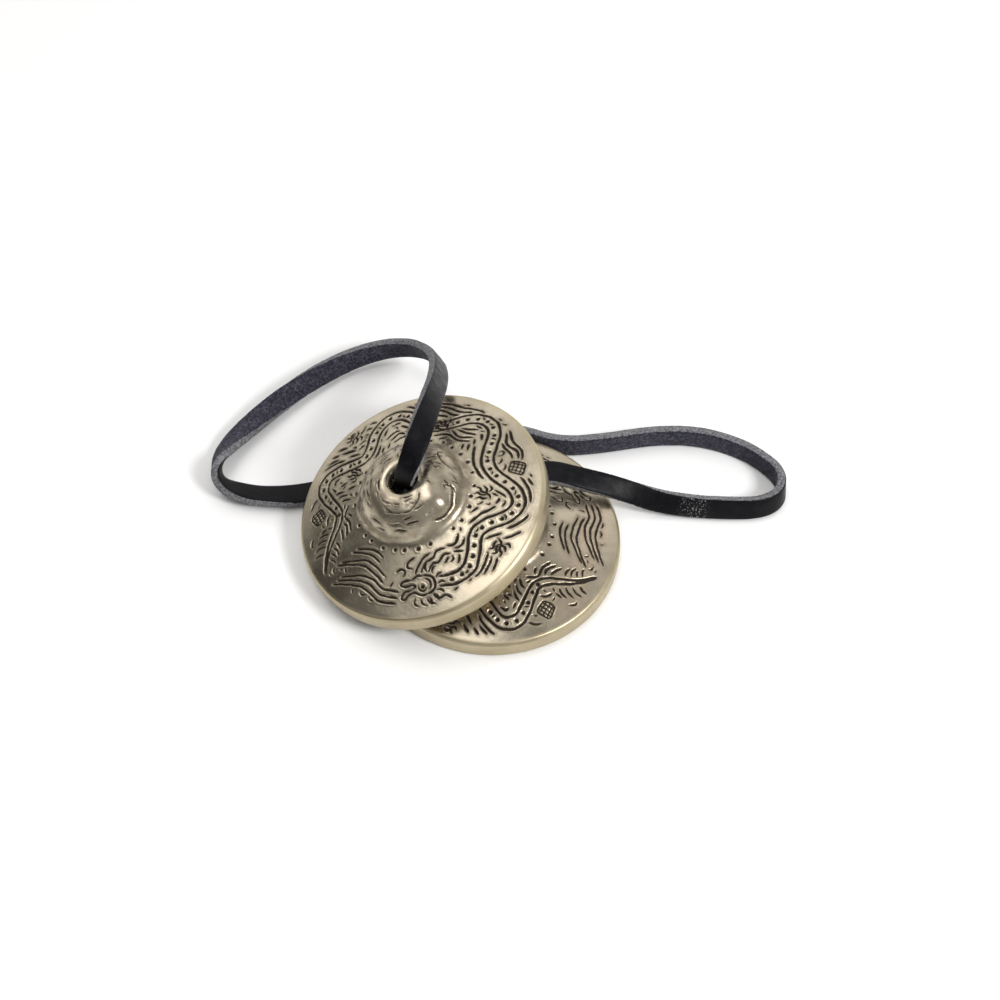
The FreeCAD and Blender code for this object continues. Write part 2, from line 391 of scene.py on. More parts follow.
def make_knot_core(name, place):
    """The knot's packed, lumpy middle."""
    mesh = bpy.data.meshes.new(name)
    work = bmesh.new()
    bmesh.ops.create_icosphere(work, subdivisions=4, radius=1.0)
    for v in work.verts:
        lump = 1 + 0.12 * noise.noise(v.co * 2.0)
        v.co = Vector((v.co.x * KNOT_RADIUS * lump, v.co.y * KNOT_RADIUS * lump,
                       v.co.z * KNOT_HALF * lump + KNOT_LIFT))
    work.to_mesh(mesh)
    work.free()
    core = link(name, mesh)
    core.matrix_world = place @ Matrix.Scale(MM, 4)
    return core


def make_knot(name, place):
    """One tied end: a packed middle with the strap's turns round it and a short tail."""
    parts = [make_knot_core(name + "_core", place)]
    middle = place @ (Vector((0, 0, KNOT_LIFT)) * MM)
    axis = (place.to_3x3() @ Vector((0, 0, 1))).normalized()
    for k, turn in enumerate(KNOT_TURNS):
        points = spline_points([place @ (Vector(spot) * MM) for spot in turn])
        looks = []
        for point in points:
            away = point - middle
            looks.append((away - axis * away.dot(axis) * 0.5).normalized())
        parts.append(make_strap(name + "_turn_%d" % k, points, looks, KNOT_SQUEEZE))
    return join(name, parts)


# ---- engraving

LINE_STEP = 0.12  # between the dense points of a cut, mm
TAPER_LENGTH = 0.8  # over which a cut widens from its end, mm
SHAKE, SHAKE_PACE = 0.16, 0.45  # how far a cut strays, mm, and its waves per mm
SWELL, SWELL_PACE = 0.3, 0.8  # share by which its width varies, and its waves per mm
SHY_GAP = 0.85  # how near a shy cut comes to an earlier one, mm
SHORTEST_RUN = 7  # dense points that a shy cut needs to be worth making


class Engraving:
    """Every cut stroke and punched dot of one cymbal, as dense points with a half width and a depth."""

    def __init__(self):
        self.points = []
        self.sizes = []

    def stroke(self, points, width=0.56, depth=0.4, taper=True):
        """A cut along a smooth curve, thinner at its ends when tapered."""
        line = catmull(points, LINE_STEP)
        last = len(line) - 1
        for i, point in enumerate(line):
            share = min(i, last - i) * LINE_STEP / TAPER_LENGTH
            thin = min(1.0, 0.5 + share * 0.5) if taper else 1.0
            shake = noise.noise_vector(Vector((point.x, point.y, width)) * SHAKE_PACE) * SHAKE
            swell = 1 + SWELL * noise.noise(Vector((point.x, point.y, 3)) * SWELL_PACE)
            self.points.append(point + shake.to_2d())
            self.sizes.append((width / 2 * thin * swell, depth * thin))

    def ring_stroke(self, spots, width=0.56, depth=0.4):
        """A cut through places given by angle and radius."""
        self.stroke([polar(*spot) for spot in spots], width, depth)

    def shy_stroke(self, points, width=0.5, depth=0.38):
        """A cut that stops short of every earlier cut and of the ground that stays bare."""
        tree = self.tree()
        run = []
        for point in catmull(points, LINE_STEP) + [None]:
            if point and tree.find((point.x, point.y, 0))[2] > SHY_GAP and not is_bare(point):
                run.append(point)
                continue
            if len(run) > SHORTEST_RUN:
                self.stroke(run[::4] + [run[-1]], width, depth)
            run = []

    def dot(self, place, radius=0.52, depth=0.55):
        """A punched dot."""
        self.points.append(Vector(place))
        self.sizes.append((radius, depth))

    def tree(self):
        """A search tree over the points."""
        tree = kdtree.KDTree(len(self.points))
        for i, point in enumerate(self.points):
            tree.insert((point.x, point.y, 0), i)
        tree.balance()
        return tree


# Ground that stays plain, by the dome, out at the rim and round the serpent's chin: angles, then radii
BARE_ZONES = (((0, 360), (0, 16.7)), ((0, 360), (29.6, math.inf)),
              ((232, 268), (0, 22.5)), ((205, 300), (28.4, math.inf)))


def is_bare(point):
    """Whether the ground stays plain here."""
    degrees = math.degrees(math.atan2(point.y, point.x)) % 360
    return any(start <= degrees <= end and inner < point.length < outer
               for (start, end), (inner, outer) in BARE_ZONES)


def local_frame(degrees, radius, turn, mirror=1, size=1.0):
    """A function that puts small motif points at a place on the plan, x along the ring, y outwards."""
    centre = polar(degrees, radius)
    angle = math.radians(degrees - 90 + turn)
    along = Vector((math.cos(angle), math.sin(angle)))
    outward = along.orthogonal()

    def place(points):
        return [centre + (along * (x * mirror) + outward * y) * size for x, y in points]
    return place


MOTIF_SIZE = 0.8  # of the claws and curls, as a share of their drawn size

# The serpent's spine: angle and radius, from its neck round to the tip of its tail
SERPENT = [
    (284, 24.6), (292, 25.6), (302, 25.4), (311, 22.8), (320, 20.4), (330, 21.6), (339, 25.2), (348, 27.0),
    (357, 25.0), (366, 21.2), (377, 19.8), (388, 21.8), (397, 25.6), (406, 27.2), (416, 25.6), (426, 21.8),
    (437, 20.2), (448, 22.4), (458, 26.4), (468, 27.4), (478, 24.6), (487, 20.4), (497, 19.6), (507, 23.4),
    (515, 27.0), (524, 26.8), (533, 23.0), (542, 20.2), (552, 21.2), (561, 24.6), (568, 27.4), (573, 29.2),
]
SERPENT_HALF_WIDTH = 1.5
FRINGE_STEP = 3  # points of the serpent's side from one fin to the next


def serpent_width(share):
    """Half width of the serpent's body at a share of its length."""
    neck = min(1.0, 0.75 + share * 4)
    tail = min(1.0, (1 - share) * 5 + 0.08)
    return SERPENT_HALF_WIDTH * neck * tail


def serpent_sides():
    """The spine and both sides of the serpent's body as dense lines, with its heading at each point."""
    spine = soften(catmull([polar(*spot) for spot in SERPENT], 0.5), 10)
    headings = headings_along(spine)
    left, right = [], []
    for i, (point, heading) in enumerate(zip(spine, headings)):
        side = heading.orthogonal() * serpent_width(i / (len(spine) - 1))
        left.append(point + side)
        right.append(point - side)
    return spine, left, right, headings


def engrave_fringe(cuts, line, headings, side, span, length):
    """Short curved cuts that stand off one side of the serpent, like fins."""
    for i in range(int(span[0] * len(line)), int(span[1] * len(line)), FRINGE_STEP):
        heading = headings[i]
        outward = heading.orthogonal() * side
        root = line[i] + outward * 0.75
        tip = root + outward * length + heading * length * 0.7
        cuts.shy_stroke([root, root + outward * length * 0.55 + heading * length * 0.2, tip], 0.6, 0.44)


def engrave_echoes(cuts, rng, line, headings, side):
    """Rows of broken lines that run beside the serpent and drift off it, like hair."""
    for gap in (1.25, 2.5, 3.75, 5.0):
        i = rng.randint(8, 20)
        while i < len(line) * 0.86:
            count = rng.randint(8, 22)
            spots = []
            for k in range(i, min(i + count, len(line)), 3):
                outward = headings[k].orthogonal() * side
                spots.append(line[k] + outward * (gap + 0.07 * (k - i)))
            if len(spots) > 1:
                cuts.shy_stroke(spots, rng.uniform(0.54, 0.7), 0.46)
            i += count + rng.randint(1, 3)


def engrave_body(cuts):
    """The serpent's two sides and the dots down its spine."""
    spine, left, right, _ = serpent_sides()
    cuts.stroke(left[::3], 0.64, 0.48)
    cuts.stroke(right[::3], 0.64, 0.48)
    for point in spine[6:-26:5]:
        cuts.dot(point)


def engrave_coat(cuts, rng):
    """The serpent's fins and tail leaves, then the broken lines beside it."""
    _, left, right, headings = serpent_sides()
    for side, line, span, length in ((1, left, (0.85, 0.985), 2.4), (-1, right, (0.83, 0.985), 2.8),
                                     (-1, right, (0.26, 0.33), 1.6), (1, left, (0.39, 0.46), 1.5),
                                     (-1, right, (0.60, 0.68), 1.6)):
        engrave_fringe(cuts, line, headings, side, span, length)
    for side, line in ((1, left), (-1, right)):
        engrave_echoes(cuts, rng, line, headings, side)


def round_arc(radius, start, end, shift=0.0):
    """Points on a circle between two angles, shifted along x."""
    steps = max(3, int(abs(end - start) / 25))
    angles = [math.radians(start + (end - start) * k / steps) for k in range(steps + 1)]
    return [(radius * math.cos(a) + shift, radius * math.sin(a)) for a in angles]


# The serpent's head in its own frame, mm, with its nose towards minus x
JAWS = (
    [(0.3, 2.3), (-1.6, 2.2), (-3.2, 1.2), (-4.6, 1.3), (-6.0, 2.2), (-6.7, 1.5), (-5.6, 0.5),
     (-3.8, 0.3)],
    [(-3.8, 0.3), (-2.8, -0.3), (-3.6, -0.8), (-5.2, -0.7), (-6.4, -1.5), (-5.4, -2.1), (-3.4, -1.9)],
    [(-3.4, -1.9), (-1.8, -2.4), (-0.3, -2.2)],
)
MANE = (
    [(1.0, -2.8), (2.6, -4.4), (4.2, -4.6), (5.8, -6.0), (7.4, -6.0)],
    [(-0.6, -3.0), (0.8, -4.9), (2.8, -5.8), (4.2, -7.2), (6.2, -7.4)],
    [(-2.2, -3.0), (-1.0, -4.8), (0.8, -6.4), (2.4, -7.0)],
    [(-2.6, -4.4), (-3.8, -5.2), (-3.2, -6.4), (-1.4, -6.9)],
    [(-5.4, -3.2), (-4.6, -4.2), (-5.4, -5.1), (-7.0, -4.8)],
    [(1.4, 2.9), (2.6, 3.8), (4.4, 3.6), (5.8, 4.6)],
    [(-0.4, 3.1), (0.2, 4.3), (1.6, 4.9)],
    [(-1.8, 3.1), (-1.8, 4.2), (-0.8, 5.0)],
    [(-3.2, 2.6), (-3.6, 3.7), (-2.8, 4.7)],
)
EYE = (-0.9, 0.3)
GILL_ANGLES = (-75, -48, -20, 8, 36, 62, 88)
HEAD_SPOT = (276, 24.4)  # the head's place by angle and radius


def engrave_head(cuts):
    """The serpent's head: cheek, eye, open jaws, gills, mane and whiskers."""
    at = local_frame(*HEAD_SPOT, 0, -1)
    cuts.stroke(at(round_arc(2.3, -95, 100)), 0.55, 0.42)
    cuts.stroke(at(round_arc(1.55, -80, 60, -0.3)), 0.45)
    cuts.dot(at([EYE])[0], 0.5)
    cuts.stroke(at([(x + EYE[0], y + EYE[1]) for x, y in round_arc(1.05, 20, 200)]), 0.42)
    for jaw in JAWS:
        cuts.stroke(at(jaw), 0.52, 0.4)
    out = at([(0, 0)])[0]
    for angle in GILL_ANGLES:
        way = at([(math.cos(math.radians(angle)), math.sin(math.radians(angle)))])[0] - out
        bend = way.orthogonal()
        cuts.stroke([out + way * 3.0, out + way * 3.9 + bend * 0.5, out + way * 5.0 + bend * 0.2], 0.48)
    for lock in MANE:
        cuts.stroke(at(lock), 0.5)


def engrave_stream(cuts, spots, count, gap, drift):
    """A family of wavy lines side by side, each starting and ending a little further on."""
    for k in range(count):
        line = []
        for degrees, radius in spots:
            waver = 0.2 * math.sin(2.3 * k + degrees * 0.3)
            line.append(polar(degrees + drift * k, radius + gap * k + waver))
        cuts.shy_stroke(line, 0.62, 0.46)


def engrave_breath(cuts):
    """The long wavy lines that run out of the serpent's mouth."""
    breaths = (([(260, 25.4), (250, 25.0), (241, 23.4), (232, 24.0), (222, 26.8)], 3, -0.8),
               ([(250, 22.2), (242, 20.6), (233, 20.0), (224, 21.6), (216, 24.4)], 2, -1.0),
               ([(244, 17.9), (236, 17.0), (227, 17.6), (219, 19.4)], 2, -1.5))
    for spots, count, drift in breaths:
        for k in range(count):
            cuts.ring_stroke([(a + drift * k, r + 1.4 * k) for a, r in spots], 0.56, 0.42)


def engrave_streams(cuts):
    """Smoke and flames: the wavy lines that fill the ground beside the serpent."""
    streams = (
        ([(88, 24.4), (78, 24.9), (68, 24.0), (58, 25.0), (48, 24.2), (41, 25.4)], 4, 1.35, -1.0),
        ([(72, 17.4), (62, 18.6), (52, 18.0), (43, 19.6)], 4, 1.35, 1.0),
        ([(312, 17.4), (304, 18.6), (296, 17.4), (287, 18.4)], 3, 1.4, 2.0),
        ([(108, 17.6), (100, 18.6), (92, 17.2), (85, 18.2)], 3, 1.4, 2.5),
        ([(203, 18.2), (195, 17.4), (187, 18.6), (179, 17.6)], 3, 1.4, 1.0),
        ([(34, 29.2), (27, 27.8), (20, 28.8), (13, 28.0)], 3, -1.3, -0.5),
    )
    for spots, count, gap, drift in streams:
        engrave_stream(cuts, spots, count, gap, drift)


def engrave_claw(cuts, degrees, radius, turn, mirror):
    """A small four-toed claw on a short leg."""
    at = local_frame(degrees, radius, turn, mirror, MOTIF_SIZE)
    for toe in ([(-1.4, -2.2), (-1.2, -0.9), (-0.3, -0.1), (-0.6, 1.2), (0.3, 2.5)],
                [(-0.3, -0.1), (1.0, 0.7), (1.3, 1.8), (2.4, 2.3)],
                [(-0.2, -0.8), (1.3, -0.4), (2.2, 0.4), (3.3, 0.0)],
                [(-0.5, -1.9), (0.8, -1.9), (1.8, -1.2), (2.8, -1.7)],
                [(-1.3, 0.4), (-2.1, 1.3), (-1.7, 2.5)]):
        cuts.stroke(at(toe), 0.58, 0.44)


def engrave_net(cuts, degrees, radius, turn):
    """A small rounded lozenge filled with a net."""
    at = local_frame(degrees, radius, turn)
    rim = [(-2.2, -0.2), (-1.1, -1.5), (0.1, -2.1), (1.3, -1.2), (2.3, 0.1),
           (1.2, 1.4), (0.0, 2.2), (-1.3, 1.2), (-2.2, -0.2)]
    cuts.stroke(at(rim), 0.46, 0.38, taper=False)
    for shift in (-0.7, 0.0, 0.7):
        reach = 1.25 - abs(shift) * 0.25
        falling = [(shift - reach, shift + reach), (shift + reach, shift - reach)]
        rising = [(shift - reach, -shift - reach), (shift + reach, -shift + reach)]
        for thread in (falling, rising):
            cuts.stroke(at(thread), 0.36, 0.32, taper=False)


def engrave_fillers(cuts):
    """Claws and nets in the spaces that the serpent leaves."""
    claws = ((322, 27.0, -10, 1), (128, 28.6, 160, 1), (352, 18.6, 100, -1),
             (70, 21.4, 20, -1), (150, 18.4, 60, 1))
    for degrees, radius, turn, mirror in claws:
        engrave_claw(cuts, degrees, radius, turn, mirror)
    for degrees, radius, turn in ((10, 26.4, 18), (180, 26.6, -14)):
        engrave_net(cuts, degrees, radius, turn)


def engrave_curls(cuts):
    """Little hooked curls on the ground that is left."""
    places = ((12, 17.6, 20, 1), (168, 18.4, 100, 1), (116, 21.6, 10, 1),
              (22, 23.6, 80, 1), (166, 24.0, 20, -1), (330, 17.8, 160, 1))
    for degrees, radius, turn, mirror in places:
        at = local_frame(degrees, radius, turn, mirror, MOTIF_SIZE)
        curl = [(-1.9, 0.7), (-0.9, -0.5), (0.4, -0.7), (1.3, 0.1), (0.8, 1.0), (0.1, 0.7)]
        cuts.shy_stroke(at(curl), 0.46)


FLECK_TRIES = 420


def engrave_flecks(cuts, rng):
    """Short hooked dashes on the ground that is still open."""
    for _ in range(FLECK_TRIES):
        degrees, radius = rng.uniform(0, 360), rng.uniform(17.0, 29.0)
        turn, size = rng.uniform(-50, 50), rng.uniform(0.8, 1.6)
        at = local_frame(degrees, radius, turn, rng.choice((-1, 1)), size)
        if 205 < degrees < 300 and radius < 24:  # the serpent's breath
            continue
        cuts.shy_stroke(at([(-1.0, 0.0), (-0.2, 0.35), (0.6, 0.05), (1.0, -0.4)]), 0.58, 0.42)


DOME_DASHES = 52
FOOT_DOTS = 30  # places for punched dots round the dome's foot, of which a few stay empty

# The dome's long sweeping lines: places by angle and radius, then width and depth
DOME_SWEEPS = (
    ([(236, 8.4), (258, 9.2), (280, 9.2), (300, 8.0), (316, 6.6)], 0.4, 0.2),
    ([(302, 12.9), (314, 13.2), (328, 13.1), (341, 12.5), (352, 11.6)], 0.42, 0.17),
    ([(10, 12.6), (18, 11.0), (30, 10.4), (40, 11.2), (36, 12.6)], 0.4, 0.22),
)


def engrave_dome_arcs(cuts, rng):
    """Broken arcs round most of the dome."""
    for radius in (6.0, 7.0, 8.1, 9.3, 10.4, 11.5, 12.6):
        degrees = rng.uniform(104, 120)
        while degrees < 300:
            span = rng.uniform(10, 26) * 8 / radius
            ring = radius + rng.uniform(-0.3, 0.3)
            spots = [(degrees + span * k / 3, ring + rng.uniform(-0.12, 0.12)) for k in range(4)]
            if rng.random() < 0.72:
                cuts.ring_stroke(spots, rng.uniform(0.34, 0.5), rng.uniform(0.14, 0.28))
            degrees += span + rng.uniform(3, 12)


def engrave_dome(cuts, rng):
    """The dome's arcs, sweeping lines and dashes, and the ring of punched dots round its foot."""
    engrave_dome_arcs(cuts, rng)
    for spots, width, depth in DOME_SWEEPS:
        cuts.ring_stroke(spots, width, depth)
    for _ in range(DOME_DASHES):
        degrees, radius = rng.uniform(-20, 104), rng.uniform(6.4, 13.0)
        at = local_frame(degrees, radius, rng.uniform(30, 100))
        cuts.stroke(at([(-0.8, 0), (0, 0.15), (0.8, 0)]), 0.42, 0.26)
    for k in range(FOOT_DOTS):
        if k % 9 == 7:
            continue
        place = polar(360 // FOOT_DOTS * k + rng.uniform(-2, 2), 15.6 + rng.uniform(-0.25, 0.25))
        cuts.dot(place, rng.uniform(0.4, 0.52), 0.42)


SEED = 7  # of the pattern's random draws and of the shake in its cuts


def engraving():
    """The whole pattern of one cymbal."""
    rng = random.Random(SEED)
    noise.seed_set(SEED)
    cuts = Engraving()
    engrave_body(cuts)
    engrave_head(cuts)
    engrave_breath(cuts)
    engrave_fillers(cuts)
    engrave_streams(cuts)
    engrave_coat(cuts, rng)
    engrave_curls(cuts)
    engrave_flecks(cuts, rng)
    engrave_dome(cuts, rng)
    return cuts


# ---- cymbals

def face_height(radius):
    """Height of the plain face at a radius."""
    share = (FACE_EDGE[0] - radius) / (FACE_EDGE[0] - FACE_TOP[0])
    return FACE_EDGE[1] + share * (FACE_TOP[1] - FACE_EDGE[1])


def top_outline():
    """The cymbal's outside from the foot of its hole over the dome and face to its base."""
    dome = line_points((LIP_END[0], HOLE_FOOT_HEIGHT), LIP_END, 5)
    dome += arc_points(LIP_END, LIP_MIDDLE, DOME_TOP, 12)
    dome += arc_points(DOME_TOP, DOME_SHOULDER, DOME_START, 40)
    dome += arc_points(DOME_START, FOOT_MIDDLE, FACE_TOP, 14)
    dome += line_points(FACE_TOP, FACE_EDGE, 68)
    dome.append(Vector(FACE_EDGE))
    side_top, side_foot = (RIM_RADIUS, SIDE_HEIGHT), (RIM_RADIUS, BASE_CHAMFER)
    side = line_points(FACE_EDGE, side_top, 4)[1:]
    side += line_points(side_top, side_foot, 8)
    side += line_points(side_foot, (RIM_RADIUS - BASE_CHAMFER, 0), 2)
    return soften(dome, 14), soften(side, 1)


def under_outline():
    """The cymbal's underside, from its base ring through the hollow back to the hole."""
    ceiling_radius = HOLLOW_RADIUS - HOLLOW_STEP
    ceiling = (ceiling_radius, face_height(ceiling_radius) - WALL)
    line = line_points((RIM_RADIUS - BASE_CHAMFER, 0), (HOLLOW_RADIUS, 0), 6)
    line += line_points((HOLLOW_RADIUS, 0), ceiling, 5)
    line += line_points(ceiling, INNER_FOOT_END, 14)
    line += arc_points(INNER_FOOT_END, INNER_FOOT_MIDDLE, INNER_FOOT, 5)
    line += arc_points(INNER_FOOT, INNER_SHOULDER, INNER_CEILING, 10)
    line.append(Vector(INNER_CEILING))
    return line


# How many points a ring has, with the radius up to which that goes, mm
RING_POINTS = {
    "face": ((8, 240), (13, 360), (21, 540), (math.inf, 720)),
    "side": ((math.inf, 720),),
    "under": ((14, 240), (math.inf, 360)),
}


def ring_count(zone, radius):
    """How many points a ring of this radius has."""
    return next(count for limit, count in RING_POINTS[zone] if radius < limit)


def zip_rings(first, first_count, second, second_count):
    """Faces between two rings of points that may differ in number."""
    if first_count == second_count:
        return [(first + k, second + k, second + (k + 1) % first_count, first + (k + 1) % first_count)
                for k in range(first_count)]
    faces = []
    i = j = 0
    while i < first_count or j < second_count:
        a = first + i % first_count
        b = second + j % second_count
        if (i + 1) * second_count <= (j + 1) * first_count:
            i += 1
            faces.append((a, b, first + i % first_count))
        else:
            j += 1
            faces.append((a, b, second + j % second_count))
    return faces


CUT_REACH = 1.5  # how far round a cut the bronze is stained, mm
FLOOR_END, WALL_END = 0.25, 1.25  # where a cut's flat floor and its wall end, in half widths
LIP_CREST, LIP_SPREAD = 1.7, 0.5  # where metal is pushed up beside it, in half widths
LIP_HEIGHT = 0.08  # how far it is pushed up, mm
BARELY_CUT = 0.02  # depth from which no lip is left, mm


def groove_at(tree, cuts, spot):
    """At a place on the plan: depth of the cut, height of a raised lip, and nearness to a cut."""
    deepest, lip, near = 0.0, 0.0, 0.0
    for _, index, distance in tree.find_range((spot.x, spot.y, 0), CUT_REACH):
        half, depth = cuts.sizes[index]
        ratio = distance / half
        near = max(near, 1 - distance / CUT_REACH)
        if ratio < WALL_END:
            fall = 1 - max(0.0, ratio - FLOOR_END)
            deepest = max(deepest, depth * fall * fall * (3 - 2 * fall))
        elif ratio < LIP_CREST + LIP_SPREAD:
            lip = max(lip, LIP_HEIGHT * (1 - abs(ratio - LIP_CREST) / LIP_SPREAD))
    return deepest, lip if deepest < BARELY_CUT else 0.0, near


ENGRAVED_FROM, ENGRAVED_TO = 4.9, 31.4  # radii between which cuts are looked for, mm
FULL_GROOVE = 0.3  # depth from which a cut is as dark as it gets, mm
NOISE_SHIFT = 31.7  # takes the second cymbal's unevenness from elsewhere, mm
FOOT_SHADE = (14.4, 1.7)  # radius of the painted shade round the dome's foot, and its spread, mm
EDGE_BLEND = 1.1  # how far in from the rim the face takes on the side's look, mm

# Broad swells and dips that the maker left on the dome: angle, radius, reach and height, mm
DOME_SWELLS = (
    (321, 10.6, 2.4, 0.34), (290, 8.6, 1.8, -0.2), (352, 9.0, 2.2, -0.22), (225, 10.0, 2.6, 0.2),
    (255, 12.4, 2.2, -0.2), (60, 8.6, 2.4, 0.16), (150, 9.5, 2.6, -0.16), (300, 13.2, 1.8, -0.16),
)

# Unevenness of the bronze: height, mm, and waves per mm
UNDER_LUMPS = (0.08, 0.9)
EDGE_LUMPS = (0.03, 0.25)
FACE_LUMPS = (0.045, 0.16)
FACE_GRAIN = (0.008, 1.4)
DOME_LUMPS = (0.16, 0.27)
LUMPS_FROM, LUMPS_TO, LUMPS_FADE = 3.8, 15.0, 2.0  # the dome's own lumps: radii, and how slowly they end


def lumps(spot, height, pace):
    """One smooth unevenness at a place."""
    return height * noise.noise(spot * pace)


def hand_work(spot, radius, zone, swells):
    """Unevenness left by casting and filing, in millimetres along the surface's normal."""
    if zone == "under":
        return lumps(spot, *UNDER_LUMPS)
    edge_lift = lumps(spot, *EDGE_LUMPS)
    if zone == "side":
        return edge_lift
    dome = ramp(LUMPS_TO - radius, LUMPS_FADE) * ramp(radius - LUMPS_FROM, LUMPS_FADE)
    lift = lumps(spot, *FACE_LUMPS) + lumps(spot, *FACE_GRAIN)
    if dome > 0:
        lift += dome * lumps(spot, *DOME_LUMPS)
        for centre, reach, height in swells:
            gap = (spot.to_2d() - centre).length / reach
            lift += dome * height * math.exp(-gap * gap)
    inside = min(1.0, (FACE_EDGE[0] - radius) / EDGE_BLEND)
    return edge_lift + (lift - edge_lift) * inside


def surface_rows():
    """The whole section as (point, heading, zone), from the hole's foot outside and back inside."""
    dome_face, side = top_outline()
    points = dome_face + side + under_outline()
    zones = ["face"] * len(dome_face) + ["side"] * len(side)
    zones += ["under"] * (len(points) - len(zones))
    return zip(points, headings_along(points), zones)


def turned_spot(spot, turn):
    """A place on the plan as the engraving sees it when the pattern is turned."""
    cos, sin = math.cos(turn), math.sin(turn)
    return Vector((spot.x * cos + spot.y * sin, -spot.x * sin + spot.y * cos))


def surface_point(point, heading, angle, lift):
    """A point of the section, turned round the axis and lifted off the surface."""
    radius = point.x - heading.y * lift
    return Vector((radius * math.cos(angle), radius * math.sin(angle), point.y + heading.x * lift))


def zone_looks(radius, zone):
    """Shares of rim polish and of painted shade round the dome's foot, the same all round a ring."""
    if zone == "face":
        foot = math.exp(-((radius - FOOT_SHADE[0]) / FOOT_SHADE[1]) ** 2)
        return max(0.0, 1 - (FACE_EDGE[0] - radius) / EDGE_BLEND), foot
    return (1.0 if zone == "side" else -1.0), 0.0


def make_cymbal(name, place, turn, cuts, seed):
    """One engraved cymbal, lying at its place."""
    tree = cuts.tree()
    shift = Vector((0, 0, seed * NOISE_SHIFT))
    swells = [(polar(degrees + math.degrees(turn), radius), reach, height)
              for degrees, radius, reach, height in DOME_SWELLS]
    verts, rings = [], []
    looks = {"groove": [], "near": [], "foot": [], "polish": []}
    for point, heading, zone in surface_rows():
        count = ring_count(zone, point.x)
        rings.append((len(verts), count))
        engraved = zone == "face" and ENGRAVED_FROM < point.x < ENGRAVED_TO
        polish, foot = zone_looks(point.x, zone)
        for k in range(count):
            angle = 2 * math.pi * k / count
            spot = surface_point(point, heading, angle, 0.0)
            depth, lip, near = 0.0, 0.0, 0.0
            if engraved:
                depth, lip, near = groove_at(tree, cuts, turned_spot(spot, turn))
            lift = hand_work(spot + shift, point.x, zone, swells) + lip - depth
            verts.append(place @ (surface_point(point, heading, angle, lift) * MM))
            looks["groove"].append(min(1.0, depth / FULL_GROOVE))
            looks["near"].append(near)
        looks["polish"] += [polish] * count
        # share of painted shade round the dome's foot
        looks["foot"] += [foot] * count
    faces = []
    for (a, count_a), (b, count_b) in zip(rings, rings[1:] + rings[:1]):
        faces += zip_rings(a, count_a, b, count_b)
    mesh = bpy.data.meshes.new(name)
    mesh.from_pydata(verts, [], faces)
    mesh.shade_smooth()
    for look, values in looks.items():
        store(mesh, look, values)
    return link(name, mesh)


# ---- materials

class Nodes:
    """Short ways to build a node tree over one set of texture coordinates."""

    def __init__(self, tree, coords):
        self.tree = tree
        self.coords = tree.nodes.new("ShaderNodeTexCoord").outputs[coords]

    def join(self, source, target):
        """Feeds a socket from another socket or a plain value."""
        if isinstance(source, bpy.types.NodeSocket):
            self.tree.links.new(source, target)
        else:
            target.default_value = source

    def feed(self, node, values):
        """Feeds a node's inputs by name, with _ for a space."""
        for name, value in values.items():
            self.join(value, node.inputs[name.replace("_", " ")])

    def add(self, kind, **values):
        """A new node with these inputs fed."""
        node = self.tree.nodes.new("ShaderNode" + kind)
        self.feed(node, values)
        return node

    def stored(self, name):
        """A number kept on the mesh."""
        node = self.add("Attribute")
        node.attribute_name = name
        return node.outputs["Fac"]

    def noise(self, scale, detail=3.0, rough=0.55):
        """A noise texture over the object's own coordinates, features per metre."""
        node = self.add("TexNoise", Scale=scale, Detail=detail, Roughness=rough, Vector=self.coords)
        return node.outputs["Fac"]

    def math(self, kind, a, b=0.0, clamp=False):
        """One sum on one or two sockets or numbers."""
        node = self.add("Math")
        node.operation = kind
        node.use_clamp = clamp
        self.join(a, node.inputs[0])
        self.join(b, node.inputs[1])
        return node.outputs[0]

    def span(self, value, low, high, to_low=0.0, to_high=1.0):
        """Maps a range of values onto another, clamped and smoothed."""
        node = self.add("MapRange", Value=value, From_Min=low, From_Max=high, To_Min=to_low, To_Max=to_high)
        node.interpolation_type = "SMOOTHSTEP"
        return node.outputs["Result"]

    def mix(self, share, a, b):
        """A colour between two others."""
        node = self.add("Mix")
        node.data_type = "RGBA"
        self.join(share, node.inputs["Factor"])
        for value, name in ((a, "A"), (b, "B")):
            socket = [s for s in node.inputs if s.name == name and s.type == "RGBA"][0]
            self.join(value if isinstance(value, bpy.types.NodeSocket) else (*value, 1.0), socket)
        return [s for s in node.outputs if s.type == "RGBA"][0]

    def bump(self, height, strength, distance, under=None):
        """Surface relief too fine for the mesh."""
        node = self.add("Bump", Strength=strength, Distance=distance, Height=height)
        if under is not None:
            self.join(under, node.inputs["Normal"])
        return node.outputs[0]


class Finish(Nodes):
    """A material with one shader, over the piece's own coordinates."""

    def __init__(self, name):
        self.material = bpy.data.materials.new(name)
        self.material.use_nodes = True
        tree = self.material.node_tree
        tree.nodes.clear()
        output = tree.nodes.new("ShaderNodeOutputMaterial")
        self.shader = tree.nodes.new("ShaderNodeBsdfPrincipled")
        tree.links.new(self.shader.outputs[0], output.inputs["Surface"])
        super().__init__(tree, "Object")

    def finish(self, **values):
        """Feeds the shader's own inputs."""
        self.feed(self.shader, values)
        return self.material


